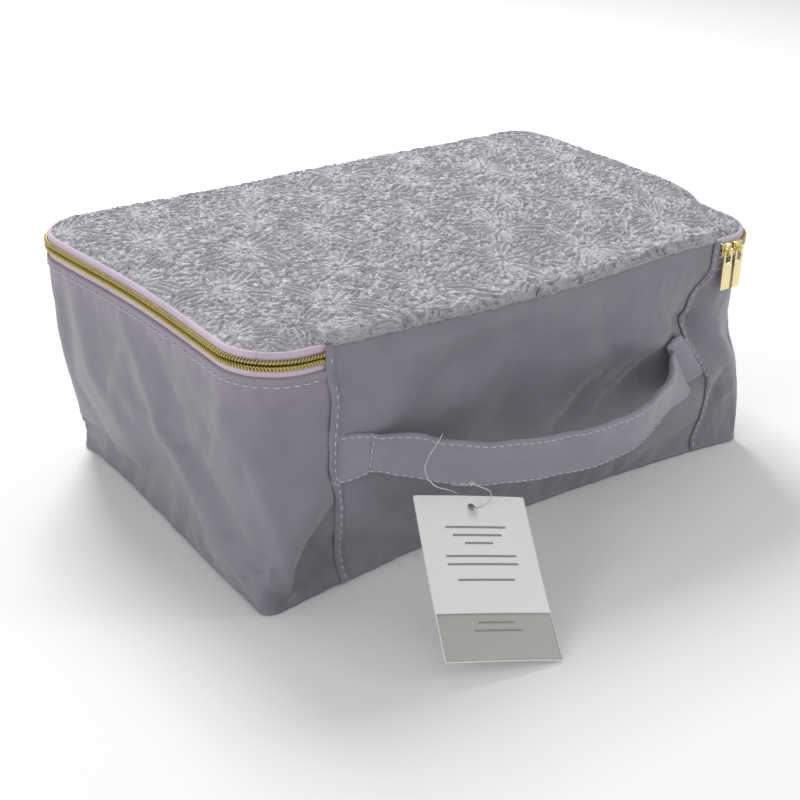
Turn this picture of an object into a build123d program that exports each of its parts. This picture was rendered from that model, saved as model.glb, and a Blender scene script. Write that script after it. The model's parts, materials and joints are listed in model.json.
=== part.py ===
from build123d import *
import os
from math import asin, degrees

# Packing cube: a soft rectangular bag whose lid opens on three sides with a zip, and is sewn to the
# front wall on the fourth. Millimetres, +Z up. The origin is the centre of the base, on the table.
# The front wall, with the carry handle, faces -Y.

# ---- driving dimensions ----
WIDTH = 280.0  # along X
DEPTH = 180.0  # along Y
CORNER_RADIUS = 26.0  # outer plan radius of the upright corners
LEAST_RADIUS = 8.0  # plan radius kept by outlines far inside the walls
FABRIC = 0.8  # modelled thickness of one fabric wall
GAP = 0.1  # clearance between layers that are sewn together
ZIP_HEIGHT = 108.0  # where the two coil halves meet
BAND_HEIGHT = 101.0  # top of the side band's hem
PANEL_HEIGHT = 112.0  # top of the front panel
SEAM_X = 105.0  # upright seams of the front wall, each side of the middle
SEAM_FOLD_X = (103.4, 107.4)  # the folded strip over each upright seam
SEAM_FOLD_PROUD = 1.2  # its outer face in front of the wall
BINDING_INSET = 1.9  # inner face of the bound seam inside the foot
BINDING_TOP = 8.0
HEM_INSET = 2.5  # inner face of the turned-in hem
HEM_BOTTOM = 92.0
HINGE_SEAM_X = 103.3  # half length of the rolled seam between lid and front panel
HINGE_SEAM_Y = (-0.6, 1.6)  # from the front wall's outer face
HINGE_SEAM_TOP = 113.4

# zip
TAPE_INSET = 0.9  # outer face of the tapes, inside the outer fabric face
TAPE_THICKNESS = 0.7
LOWER_TAPE_BOTTOM = 93.0
TAPE_TUCK = 4.0  # how far the lower tape runs on behind the front panel
UPPER_TAPE_TOP = 114.0
COIL_GAP = 0.3  # from the meeting height to each coil half
COIL_WIDTH = 1.4
COIL_PROUD = 0.75  # how far the coil stands out of the outer fabric face
ZIP_START_X = 107.6  # where the coil comes out from under the upright seam
LID_ZIP_X = 121.2  # from here round the corner the upper tape swings with the lid
ZIP_SPLIT = 0.6  # gap between the stretches that stay with the bag and those that swing

# sliders and pulls
SLIDER_LENGTH = 5.8
SLIDER_HALF_HEIGHT = 3.1
SLIDER_PLATE = 0.8
SLIDER_CLEAR = 0.2  # between the coil and the plate in front of it
SLIDER_FLANGE_Z = 2.1  # inner side of the flanges above and below the coil
SLIDER_FLANGE_IN = 0.8
SLIDER_POST_HALF = 1.2
SLIDER_POST_THIN = 0.2
SLIDER_INNER_Y = (1.9, 2.7)  # the plate behind the tapes
CROWN_HALF_X = 1.1
CROWN_HALF_Z = 2.4
CROWN_OPENING_Z = 1.6
CROWN_WALL = 0.8
CROWN_OUT = 1.75  # beyond the pull's pivot bar
OVERLAP = 0.05  # how far fused blocks run into each other
SLIDER_A_X = 110.8
SLIDER_B_X = 118.0
PULL_WIDTH = 6.0
PULL_LENGTH = 19.0
PULL_THICKNESS = 1.2
PULL_PIVOT_OUT = 2.75  # pivot bar's centre in front of the outer fabric face
EYE_HALF = 2.7
EYE_INNER = 1.6
EYE_DROP = 6.5

# lid
LID_INSET = 1.8  # lid edge inside the outer fabric face
LID_RIM_Z = 113.0
LID_SKIN = 1.5
LINING_SKIN = 0.6
DOME = [(0.0, 113.0), (4.2, 116.0), (20.0, 119.0), (48.0, 120.6)]  # (inset from the lid edge, height)
LID_NOTCH_X = 103.4  # the lid is cut back over the zip's two front ends
LID_NOTCH_Y = -78.0
LID_BINDING_INSET = (3.3, 5.3)
LID_BINDING_BOTTOM = 111.9

# handle
STRAP_WIDTH = 20.5
STRAP_THICKNESS = 2.2
STRAP_SHELL = 0.6
TACK_LEFT_X = -84.0
TACK_RIGHT_X = 87.0
SEWN_END_X = 103.2  # outer ends of the strap, each side
HANDLE_Z = 60.0
HANDLE_Y = -91.4  # centre plane of the strap's sewn ends
GRIP_LEFT_X = -61.0
GRIP_RIGHT_X = 70.0
STRAP_PATH = [
    (TACK_LEFT_X, HANDLE_Y, HANDLE_Z),
    (-58.0, -107.0, 57.2),
    (-30.0, -117.2, 54.6),
    (7.0, -123.7, 52.6),
    (34.0, -120.8, 52.6),
    (61.0, -109.0, 54.6),
    (TACK_RIGHT_X, HANDLE_Y, HANDLE_Z),
]
STRAP_TANGENTS = [(1, -0.25, 0), (0.8, 1, 0)]
CORE_PLAY = (0.4, 0.2)  # width and thickness left free round the stiffening strip
STRAP_STATIONS = 28
STRAP_LAP = 0.3  # length the sewn ends and the free part share
TACK_ROW_IN = 3.0  # from the end of the sewn stretch to the row of stitches across it
TACK_STITCHES = 6
TACK_PITCH = 3.2
TACK_STITCH = (0.5, 0.4, 2.4)  # across, out of and along the strap's width
TACK_CLEAR = 0.3  # from the strap's face to the stitch's middle

# hang tag
CARD_WIDTH = 48.5
CARD_HEIGHT = 72.8
CARD_THICKNESS = 0.5
CARD_HOLE_RADIUS = 1.7
CARD_HOLE_DROP = 5.0  # from the card's top edge to the hole
CARD_YAW = -2.8
CARD_LEAN = -59.0
CARD_TWIST = 18.9  # turn in the card's own plane
CARD_CENTRE = (-66.1, -140.6, 22.3)
LOOP_RADIUS = 0.35
LOOP_JOINT_RADIUS = 1.3
LOOP_JOINT = (-42.0, -119.5, 43.5)
LOOP_OVER_STRAP = [  # up behind the strap, over its top edge and down its front
    (-42.4, -115.4, 42.6),
    (-43.2, -110.4, 47.5),
    (-45.8, -109.2, 58.0),
    (-48.6, -108.4, 66.5),
    (-52.5, -110.6, 69.6),
    (-56.5, -112.6, 62.0),
    (-59.0, -112.2, 51.0),
    (-58.2, -112.6, 45.4),
]
LOOP_THROUGH_CARD = [(1, 9.5, 0), (0.5, 3.5, -3.5), (0, 0, 0), (6, 1, 4)]  # across, up, out from the hole
LOOP_END_GAP = 0.6

# ---- cutting boxes, larger than what they cut ----
CUT_Y = (-DEPTH / 2 - 10.0, -DEPTH / 2 + 30.0)  # across the front wall and the zip on it
CUT_Z = (-5.0, 140.0)  # from under the base to above the lid
STRAP_CUT_X = 120.0
STRAP_CUT_Y = (-200.0, 0.0)

os.makedirs("parts", exist_ok=True)


# ---- helpers ----
def outline(inset):
    """The bag's plan outline, moved in by the inset. Far in, its corners keep a small radius."""
    radius = max(CORNER_RADIUS - inset, LEAST_RADIUS)
    return RectangleRounded(WIDTH - 2 * inset, DEPTH - 2 * inset, radius)


def band(outer, inner, low, high):
    """A closed upright band between two insets and two heights."""
    return Pos(0, 0, low) * extrude(outline(outer) - outline(inner), high - low)


def block(x, y, z):
    """A box from three (low, high) pairs."""
    return Pos(sum(x) / 2, sum(y) / 2, sum(z) / 2) * Box(x[1] - x[0], y[1] - y[0], z[1] - z[0])


def front_zone(low, high):
    """Two boxes that hold the front wall where |x| lies between low and high."""
    return [block((-high, -low), CUT_Y, CUT_Z), block((low, high), CUT_Y, CUT_Z)]


def without_front(shape, half_width):
    """The U that is left when the middle of the front wall is cut away."""
    return shape - block((-half_width, half_width), CUT_Y, CUT_Z)


def both_fronts(shape, low, high):
    """Only the two stretches of the front wall where |x| lies between low and high."""
    left, right = front_zone(low, high)
    return Compound(children=[*(shape & left).solids(), *(shape & right).solids()])


def save(name, shape):
    """Write one node as a STEP file, a single solid as itself and several as a group."""
    solids = shape.solids()
    export_step(solids[0] if len(solids) == 1 else Compound(children=list(solids)), f"parts/{name}.step")


# ---- bag ----
def make_bag():
    front = -DEPTH / 2
    save("base_panel", extrude(outline(0), FABRIC))
    foot = FABRIC + GAP
    save("side_band", without_front(band(0, FABRIC, foot, BAND_HEIGHT), SEAM_X + GAP / 2))
    panel_x = (-SEAM_X + GAP / 2, SEAM_X - GAP / 2)
    save("front_panel", block(panel_x, (front, front + FABRIC), (foot, PANEL_HEIGHT)))
    fold_y = (front - SEAM_FOLD_PROUD, front - GAP)
    fold = block(SEAM_FOLD_X, fold_y, (foot, LID_RIM_Z))
    save("right_seam_fold", fold)
    save("left_seam_fold", mirror(fold, Plane.YZ))
    save("base_binding", band(FABRIC + GAP, BINDING_INSET, foot, BINDING_TOP))
    hem = band(TAPE_INSET + TAPE_THICKNESS + GAP, HEM_INSET, HEM_BOTTOM, BAND_HEIGHT)
    save("band_hem", without_front(hem, SEAM_X))
    roll_y = (front + HINGE_SEAM_Y[0], front + HINGE_SEAM_Y[1])
    roll = block((-HINGE_SEAM_X, HINGE_SEAM_X), roll_y, (PANEL_HEIGHT + GAP, HINGE_SEAM_TOP))
    save("hinge_seam", roll)


# ---- zip ----
def coil(low):
    return band(-COIL_PROUD, TAPE_INSET - GAP / 2, low, low + COIL_WIDTH)


def make_zip():
    tape = (TAPE_INSET, TAPE_INSET + TAPE_THICKNESS)
    low_top, high_bottom = ZIP_HEIGHT - COIL_GAP, ZIP_HEIGHT + COIL_GAP
    lower_tape = band(*tape, LOWER_TAPE_BOTTOM, low_top)
    upper_tape = band(*tape, high_bottom, UPPER_TAPE_TOP)
    lower_coil = coil(low_top - COIL_WIDTH)
    upper_coil = coil(high_bottom)
    save("lower_zip_tape", without_front(lower_tape, SEAM_X - TAPE_TUCK))
    save("lower_coil", without_front(lower_coil, ZIP_START_X))
    save("upper_tape_ends", both_fronts(upper_tape, SEAM_X + 2 * GAP, LID_ZIP_X - ZIP_SPLIT))
    save("upper_coil_ends", both_fronts(upper_coil, ZIP_START_X, LID_ZIP_X - ZIP_SPLIT))
    save("upper_zip_tape", without_front(upper_tape, LID_ZIP_X))
    save("upper_coil", without_front(upper_coil, LID_ZIP_X))


# ---- sliders: built about the coil's meeting line, with X along the zip and -Y outwards ----
def slider_body():
    half = SLIDER_LENGTH / 2
    out = COIL_PROUD + SLIDER_CLEAR
    face = out + SLIDER_PLATE
    top = block((-half, half), (-face, -out), (-SLIDER_HALF_HEIGHT, SLIDER_HALF_HEIGHT))
    flange_y = (-out - OVERLAP, SLIDER_FLANGE_IN)
    flange = block((-half, half), flange_y, (SLIDER_FLANGE_Z, SLIDER_HALF_HEIGHT))
    flanges = flange + mirror(flange, Plane.XY)
    post_y = (-out - OVERLAP, SLIDER_INNER_Y[0] + OVERLAP)
    post = block((-SLIDER_POST_HALF, SLIDER_POST_HALF), post_y, (-SLIDER_POST_THIN, SLIDER_POST_THIN))
    inner = block((-half, half), SLIDER_INNER_Y, (-SLIDER_HALF_HEIGHT, SLIDER_HALF_HEIGHT))
    crown_y = (-PULL_PIVOT_OUT - CROWN_OUT, -face + OVERLAP)
    crown = block((-CROWN_HALF_X, CROWN_HALF_X), crown_y, (-CROWN_HALF_Z, CROWN_HALF_Z))
    opening_y = (crown_y[0] + CROWN_WALL, -face)
    opening = block((-2 * CROWN_HALF_X, 2 * CROWN_HALF_X), opening_y, (-CROWN_OPENING_Z, CROWN_OPENING_Z))
    return top + flanges + post + inner + (crown - opening)


def pull_body():
    """A flat tab with a rectangular eye, whose round top bar runs under the slider's crown."""
    bar_radius = PULL_THICKNESS / 2
    bar = Pos(0, -PULL_PIVOT_OUT, 0) * Rot(0, 90, 0) * Cylinder(bar_radius, 2 * EYE_HALF)
    y = (-PULL_PIVOT_OUT - bar_radius, -PULL_PIVOT_OUT + bar_radius)
    side = block((EYE_INNER, EYE_HALF), y, (-EYE_DROP, 0))
    sides = side + mirror(side, Plane.YZ)
    tab = block((-PULL_WIDTH / 2, PULL_WIDTH / 2), y, (-PULL_LENGTH, -EYE_DROP + 2 * OVERLAP))
    return bar + sides + tab


def at_slider_a(shape):
    return Pos(SLIDER_A_X, -DEPTH / 2, ZIP_HEIGHT) * shape


def at_slider_b(shape):
    """On the start of the front right corner's arc, turned to the arc's tangent."""
    centre_x, centre_y = WIDTH / 2 - CORNER_RADIUS, -DEPTH / 2 + CORNER_RADIUS
    angle = degrees(asin((SLIDER_B_X - centre_x) / CORNER_RADIUS))
    return Pos(centre_x, centre_y, ZIP_HEIGHT) * Rot(0, 0, angle) * Pos(0, -CORNER_RADIUS, 0) * shape


def make_sliders():
    save("slider_a_body", at_slider_a(slider_body()))
    save("slider_b_body", at_slider_b(slider_body()))
    save("pull_a_tab", at_slider_a(pull_body()))
    save("pull_b_tab", at_slider_b(pull_body()))


# ---- lid ----
def dome(sink):
    """The closed domed block under the lid's surface, sunk inwards and downwards by the same amount."""
    sections = []
    for inset, height in DOME:
        rim = height if inset == 0 else height - sink
        sections.append(Pos(0, 0, rim) * outline(LID_INSET + sink + inset))
    return loft(sections, ruled=True)


def skin(outer_sink, inner_sink):
    shell = dome(outer_sink) - dome(inner_sink)
    notch = block((LID_NOTCH_X, LID_ZIP_X), (CUT_Y[0], LID_NOTCH_Y), (BAND_HEIGHT, CUT_Z[1]))
    return shell - notch - mirror(notch, Plane.YZ)


def make_lid():
    save("lid_panel", skin(0, LID_SKIN))
    save("lid_lining", skin(LID_SKIN + GAP, LID_SKIN + GAP + LINING_SKIN))
    binding = band(*LID_BINDING_INSET, LID_BINDING_BOTTOM, LID_RIM_Z - GAP)
    for zone in front_zone(LID_NOTCH_X, LID_ZIP_X):
        binding -= zone
    save("lid_binding", binding)


# ---- handle ----
def strap(width, thickness):
    """The strap's free part as a loft through upright rectangles along its path."""
    path = Spline(*STRAP_PATH, tangents=STRAP_TANGENTS)
    sections = []
    for i in range(STRAP_STATIONS + 1):
        t = i / STRAP_STATIONS
        plane = Plane(origin=path @ t, z_dir=path % t, x_dir=(0, 0, 1))
        sections.append(plane * Rectangle(width, thickness))
    return loft(sections, ruled=True)


def between(shape, low, high):
    return shape & block((low, high), STRAP_CUT_Y, CUT_Z)


def make_handle():
    whole = strap(STRAP_WIDTH, STRAP_THICKNESS)
    inner_width, inner_thickness = STRAP_WIDTH - 2 * STRAP_SHELL, STRAP_THICKNESS - 2 * STRAP_SHELL
    hollow = strap(inner_width, inner_thickness)
    core = strap(inner_width - CORE_PLAY[0], inner_thickness - CORE_PLAY[1])
    end_y = (HANDLE_Y - STRAP_THICKNESS / 2, HANDLE_Y + STRAP_THICKNESS / 2)
    end_z = (HANDLE_Z - STRAP_WIDTH / 2, HANDLE_Z + STRAP_WIDTH / 2)
    left = block((-SEWN_END_X, TACK_LEFT_X + STRAP_LAP), end_y, end_z)
    right = block((TACK_RIGHT_X - STRAP_LAP, SEWN_END_X), end_y, end_z)
    save("handle_root_left", left + between(whole, -STRAP_CUT_X, GRIP_LEFT_X - GAP))
    save("handle_root_right", right + between(whole, GRIP_RIGHT_X + GAP, STRAP_CUT_X))
    save("handle_sleeve", between(whole - hollow, GRIP_LEFT_X, GRIP_RIGHT_X))
    save("handle_core", between(core, GRIP_LEFT_X + GAP, GRIP_RIGHT_X - GAP))
    stitches = []
    for x in (TACK_LEFT_X - TACK_ROW_IN, TACK_RIGHT_X + TACK_ROW_IN):
        for i in range(TACK_STITCHES):
            z = HANDLE_Z + (i - (TACK_STITCHES - 1) / 2) * TACK_PITCH
            stitches.append(Pos(x, end_y[0] - TACK_CLEAR, z) * Box(*TACK_STITCH))
    save("handle_tacks", Compound(children=stitches))


# ---- hang tag ----
def card_place():
    return Pos(*CARD_CENTRE) * Rot(0, 0, CARD_YAW) * Rot(CARD_LEAN, 0, 0) * Rot(0, CARD_TWIST, 0)


def by_hole(across, up, out):
    """A point near the card's hole, in the card's own directions."""
    hole_z = CARD_HEIGHT / 2 - CARD_HOLE_DROP
    point = (card_place() * Pos(across, -out, hole_z + up)).position
    return (point.X, point.Y, point.Z)


def make_tag():
    hole = Rot(90, 0, 0) * Cylinder(CARD_HOLE_RADIUS, 4 * CARD_THICKNESS)
    card = Box(CARD_WIDTH, CARD_THICKNESS, CARD_HEIGHT)
    card -= Pos(0, 0, CARD_HEIGHT / 2 - CARD_HOLE_DROP) * hole
    save("tag_card", card_place() * card)
    # the loop runs from its joint over the strap, round the card's top edge, through the hole and back
    by_card = [by_hole(*offsets) for offsets in LOOP_THROUGH_CARD]
    end = (LOOP_JOINT[0] + LOOP_END_GAP, LOOP_JOINT[1], LOOP_JOINT[2] - LOOP_END_GAP)
    line = Spline(LOOP_JOINT, *LOOP_OVER_STRAP, *by_card, end)
    ring = sweep(Plane(origin=line @ 0, z_dir=line % 0) * Circle(LOOP_RADIUS), path=line)
    save("tag_loop", ring + Pos(*LOOP_JOINT) * Sphere(LOOP_JOINT_RADIUS))


make_bag()
make_zip()
make_sliders()
make_lid()
make_handle()
make_tag()
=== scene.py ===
"""Packing cube: the visual model, built round the CAD frame. Lengths are millimetres until a mesh is made."""

import functools
import json
import math

import bmesh
import bpy
import numpy as np
from mathutils import Matrix, Vector


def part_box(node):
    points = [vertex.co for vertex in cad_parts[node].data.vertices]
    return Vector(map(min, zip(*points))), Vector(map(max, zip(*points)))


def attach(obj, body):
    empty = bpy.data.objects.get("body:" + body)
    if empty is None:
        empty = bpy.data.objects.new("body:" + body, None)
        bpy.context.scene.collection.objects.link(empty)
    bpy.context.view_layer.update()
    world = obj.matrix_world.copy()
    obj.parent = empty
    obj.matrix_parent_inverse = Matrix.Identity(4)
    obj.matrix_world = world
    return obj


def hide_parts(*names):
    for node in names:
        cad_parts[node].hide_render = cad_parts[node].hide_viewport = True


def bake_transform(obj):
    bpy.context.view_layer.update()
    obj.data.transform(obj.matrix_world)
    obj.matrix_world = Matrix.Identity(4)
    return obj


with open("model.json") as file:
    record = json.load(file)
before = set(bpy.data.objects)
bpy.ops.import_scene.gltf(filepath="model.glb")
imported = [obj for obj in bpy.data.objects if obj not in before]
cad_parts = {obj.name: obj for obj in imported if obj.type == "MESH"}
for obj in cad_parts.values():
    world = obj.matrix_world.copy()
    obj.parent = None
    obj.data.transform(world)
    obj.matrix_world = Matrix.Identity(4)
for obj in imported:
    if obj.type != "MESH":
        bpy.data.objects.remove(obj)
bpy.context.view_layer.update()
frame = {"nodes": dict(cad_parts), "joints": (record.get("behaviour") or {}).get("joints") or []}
MM = 0.001
PI = math.pi
JOINTS = {joint["name"]: joint for joint in frame["joints"]}


def cad(node):
    """Lowest and highest corner of a CAD node."""
    low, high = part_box(node)
    return np.array(low) / MM, np.array(high) / MM


def joint_place(name):
    return np.array(JOINTS[name]["pos_m"]) / MM


# ---- sizes from the frame ----
HALF_W, HALF_D, HEM_TOP = cad("side_band")[1]
HEM_EDGE = HEM_TOP + 1.4  # the folded edge creeps up towards the coil
SEAM_X, _, PANEL_TOP = cad("front_panel")[1]
RIM_Z = cad("left_seam_fold")[1][2]
SLIDER_X, _, ZIP_Z = np.mean(cad("slider_a_body"), axis=0)
PULL_END = cad("pull_a_tab")[0][2] - ZIP_Z
_, HINGE_Y, HINGE_Z = joint_place("lid_hinge")
_, HANDLE_Y, HANDLE_Z = joint_place("handle_swing")
TACK_LEFT, TACK_RIGHT = (corner[0] for corner in cad("handle_tacks"))
STRAP_WIDTH = np.diff(cad("handle_root_right"), axis=0)[0][2] - 2.0
LID_ZIP_X = -cad("upper_coil_ends")[0][0]  # from here the upper half of the zip swings with the lid

# ---- shape of the soft walls ----
CORNER_RADIUS = 26.0
BASE_RADIUS = 7.0
WAIST = 80.0  # below this height the corners tighten towards the base
RECESS = 9.5  # how far the middle of each wall's foot is drawn in
FOOT = 0.9
CLOTH = 0.5


def smooth(t):
    """0 below 0, 1 above 1, and an even curve between."""
    t = np.clip(t, 0.0, 1.0)
    return t * t * (3.0 - 2.0 * t)


def bump(distance, width):
    return np.exp(-((distance / width) ** 2))


def unit(vectors):
    return vectors / np.linalg.norm(vectors, axis=-1, keepdims=True)


def distances(path):
    """Distance travelled along a path, at each of its points."""
    return np.concatenate([[0], np.cumsum(np.linalg.norm(np.diff(path, axis=0), axis=1))])


def read_along(at, distance, values):
    """Rows of values, read off at some distances along a path."""
    return np.stack([np.interp(at, distance, column) for column in values.T], 1)


# ---- distance round the bag: 0 at the middle of the front, then right, back and left ----
STRAIGHT_X = HALF_W - CORNER_RADIUS
STRAIGHT_Y = HALF_D - CORNER_RADIUS
ARC = PI / 2 * CORNER_RADIUS
ROUND = STRAIGHT_X + ARC + 2 * STRAIGHT_Y + ARC + 2 * STRAIGHT_X + ARC + 2 * STRAIGHT_Y + ARC + STRAIGHT_X


def front(x):
    return x


def right(y):
    return STRAIGHT_X + ARC + STRAIGHT_Y + y


def back(x):
    return ROUND / 2 - x


def left(y):
    return -right(y)


def signed(s):
    """A distance round the bag, wrapped so that it runs from minus half to half the way round."""
    return (s + ROUND / 2) % ROUND - ROUND / 2


def front_part(q, r):
    """Plan point and normal from the front's middle to the end of its right corner, with radius r.

    Up to the seam, distance and x are the same. Beyond it, the cloth is spread evenly round the corner.
    """
    flat = HALF_W - r - SEAM_X
    run = (q - SEAM_X) / (STRAIGHT_X + ARC - SEAM_X) * (flat + PI / 2 * r)
    turn = np.clip((run - flat) / r, 0, PI / 2)
    x = np.where(q < SEAM_X, q, SEAM_X + np.minimum(run, flat) + r * np.sin(turn))
    turn = np.where(q < SEAM_X, 0, turn)
    return x, -HALF_D + r - r * np.cos(turn), np.sin(turn), -np.cos(turn)


def rest_part(past, r):
    """Plan point and normal beyond the right corner: up the right wall, round, and to the back's middle."""
    ax, ay = HALF_W - r, HALF_D - r
    along = np.clip(past / (2 * STRAIGHT_Y), 0, 1)
    turn = np.clip((past - 2 * STRAIGHT_Y) / ARC, 0, 1) * PI / 2
    across = np.clip((past - 2 * STRAIGHT_Y - ARC) / STRAIGHT_X, 0, 1)
    nx, ny = np.cos(turn), np.sin(turn)
    return ax * (1 - across) + r * nx, ay * (2 * along - 1) + r * ny, nx, ny


def plan(s, z):
    """Plan position and outward normal of the wall at distance s round the bag, without folds."""
    s, z = np.broadcast_arrays(np.asarray(s, float) % ROUND, np.asarray(z, float))
    r = BASE_RADIUS + (CORNER_RADIUS - BASE_RADIUS) * smooth(z / WAIST)
    q = np.minimum(s, ROUND - s)
    past = q - STRAIGHT_X - ARC
    pairs = zip(front_part(q, r), rest_part(past, r))
    x, y, nx, ny = (np.where(past > 0, after, before) for before, after in pairs)
    mirror = np.where(s > ROUND / 2, -1, 1)
    return x * mirror, y, nx * mirror, ny


# ---- noise ----
NOISE_SIZE = 256


@functools.cache
def gradients(seed):
    angle = np.random.default_rng(seed).uniform(0, 2 * PI, (NOISE_SIZE, NOISE_SIZE))
    return np.cos(angle), np.sin(angle)


def noise(x, y, scale, seed, period=None):
    """Smooth gradient noise, about -1 to 1. With a period, it repeats along x."""
    wrap = NOISE_SIZE if period is None else max(2, round(period / scale))
    scale_x = scale if period is None else period / wrap
    gx, gy = gradients(seed)
    u, v = x / scale_x, y / scale
    i, j = np.floor(u).astype(int), np.floor(v).astype(int)
    fu, fv = u - i, v - j

    def corner(di, dj):
        a, b = (i + di) % wrap, (j + dj) % NOISE_SIZE
        return gx[a, b] * (fu - di) + gy[a, b] * (fv - dj)

    su = fu**3 * (fu * (fu * 6 - 15) + 10)
    sv = fv**3 * (fv * (fv * 6 - 15) + 10)
    low = corner(0, 0) * (1 - su) + corner(1, 0) * su
    high = corner(0, 1) * (1 - su) + corner(1, 1) * su
    return 1.5 * (low * (1 - sv) + high * sv)


# ---- folds of the walls ----
FOLD_GAIN = 1.35


def fold(side, amount, width, *points, sharp=False):
    """A fold's height and half-width, and the line it follows: (place along the side, height) points."""
    return amount, width, sharp, [(side(place), height) for place, height in points]


FOLDS = [
    fold(left, 2.2, 9, (6, 98), (-12, 53), (-50, 20), (-70, 2)),
    fold(left, -2.0, 8, (-10, 96), (-30, 55), (-66, 24)),
    fold(left, 1.4, 8, (50, 98), (39, 62), (18, 28)),
    fold(left, -1.2, 7, (62, 92), (58, 50), (44, 15)),
    fold(left, -1.3, 3.5, (-28, 68), (-56, 75), sharp=True),
    fold(left, 1.2, 5, (-56, 73), (-80, 96)),
    fold(left, -1.1, 4, (-56, 72), (-42, 56)),
    # near left corner and the short return to the left seam
    fold(left, 2.6, 5, (-82, 62), (-84, 30), (-84, 2)),
    fold(front, -2.2, 8, (-114, 99), (-125, 82), (-121, 60)),
    fold(front, -3.4, 6, (-104, 44), (-120, 25), (-136, 3), sharp=True),
    fold(front, 2.2, 8, (-108, 58), (-124, 38), (-138, 16)),
    fold(front, -2.5, 9, (-108, 18), (-122, 6)),
    # front panel
    fold(front, 2.0, 8, (-78, 103), (-38, 105), (-5, 106)),
    fold(front, -2.6, 11, (-72, 66), (-44, 90), (-15, 98)),
    fold(front, -3.0, 30, (-45, 55), (40, 70)),
    fold(front, 1.6, 10, (-12, 40), (30, 62)),
    fold(front, -2.6, 6, (86, 66), (52, 64), (30, 55), (18, 44)),
    fold(front, 1.8, 7, (84, 72), (55, 78), (20, 72)),
    fold(front, 2.6, 5, (84, 74), (60, 66), (40, 56), (30, 44)),
    fold(front, -3.0, 12, (66, 54), (48, 46)),
    fold(front, 1.5, 9, (-96, 40), (-70, 22), (-40, 14)),
    fold(front, -1.5, 8, (-90, 24), (-60, 8)),
    # right seam and the return beyond it
    fold(front, -4.5, 11, (101, 82), (99, 72)),
    fold(front, 2.0, 8, (108, 52), (106, 40)),
    fold(front, 2.0, 7, (116, 84), (126, 30)),
    fold(front, -2.4, 6, (110, 88), (106, 58), sharp=True),
    fold(front, -1.8, 6, (118, 44), (112, 18)),
    fold(right, 2.0, 9, (-30, 97), (-8, 50), (30, 6)),
    fold(right, -1.8, 8, (-50, 90), (-36, 44), (-2, 10)),
    fold(right, 1.5, 8, (52, 96), (40, 58), (44, 24)),
    fold(right, -1.4, 5, (10, 74), (36, 84), sharp=True),
    fold(right, 2.2, 5, (82, 60), (84, 2)),
    fold(back, 2.2, 10, (90, 98), (70, 48), (30, 8)),
    fold(back, -2.0, 9, (66, 94), (44, 44), (10, 8)),
    fold(back, 1.8, 10, (-20, 98), (-34, 52), (-70, 10)),
    fold(back, -1.8, 8, (-48, 92), (-60, 50), (-100, 12)),
    fold(back, -1.4, 4, (0, 70), (26, 78), sharp=True),
    fold(back, -3.0, 34, (40, 45), (-40, 60)),
]


def fold_height(s, z):
    """How far the folds push the wall out, at distance s round and height z."""
    total = np.zeros(np.broadcast(s, z).shape)
    for amount, width, sharp, points in FOLDS:
        best = np.full(total.shape, 1e9)
        along = np.zeros(total.shape)
        count = len(points) - 1
        for k in range(count):
            (s0, z0), (s1, z1) = points[k], points[k + 1]
            ds, dz = signed(s - s0), z - z0
            es, ez = s1 - s0, z1 - z0
            t = np.clip((ds * es + dz * ez) / (es * es + ez * ez), 0, 1)
            distance = np.hypot(ds - t * es, dz - t * ez)
            closer = distance < best
            best = np.where(closer, distance, best)
            along = np.where(closer, (k + t) / count, along)
        if sharp:
            profile = np.exp(-np.sqrt((best / width) ** 2 + 0.05) + 0.2236)
        else:
            profile = bump(best, width)
        total += FOLD_GAIN * amount * profile * (0.35 + 0.65 * np.sin(PI * np.clip(along, 0.08, 0.92)))
    return total


def relief(s, z):
    """Everything that moves the cloth off its plain shape: folds, slackness and puckers at the seams."""
    on_panel = np.abs(signed(s)) < SEAM_X
    calm = np.where(on_panel, 1 - smooth((z - 100) / 12), 1 - smooth((z - HEM_TOP + 14) / 16))
    free = calm * smooth((z + 4) / 14)
    soft = 0.7 * noise(s, z, 46, 3, ROUND) + 0.3 * noise(s + 0.5 * z, z, 19, 4, ROUND)
    soft += 0.10 * noise(s, z, 7, 5, ROUND)
    hem = 0.28 * noise(s, z * 0.3, 5, 6, ROUND) * bump(z - HEM_TOP + 3, 6)
    foot = 0.5 * noise(s, z * 0.3, 9, 7, ROUND) * bump(z, 12)
    seam = 0.45 * noise(z, s * 0.3, 7, 8) * bump(np.abs(signed(s)) - SEAM_X, 9)
    return free * (fold_height(s, z) + soft) + hem + foot + seam * calm


# sideways drift of the two upright seams of the front wall: (height, shift)
LEFT_DRIFT = ((0, 9.0), (15, 7.0), (30, 5.5), (44, 5.0), (58, 0.4), (70, 0.3), (89, 2.2), (106, -1.0))
RIGHT_DRIFT = ((8, 6.5), (29, 8.0), (48, 1.5), (60, -6.5), (71, -14.0), (80, -11.5), (93, -8.0), (106, -3.0))
SLIDER_ROUTE = (HALF_W - 31.0, -HALF_D + 33.0)  # the corner that slider B runs round keeps its true arc


def drift(z, table):
    heights, shifts = np.array(table).T
    z = np.clip(z, heights[0], heights[-1])
    return sum(np.interp(z + offset, heights, shifts) for offset in (-4, -2, 0, 2, 4)) / 5


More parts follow.
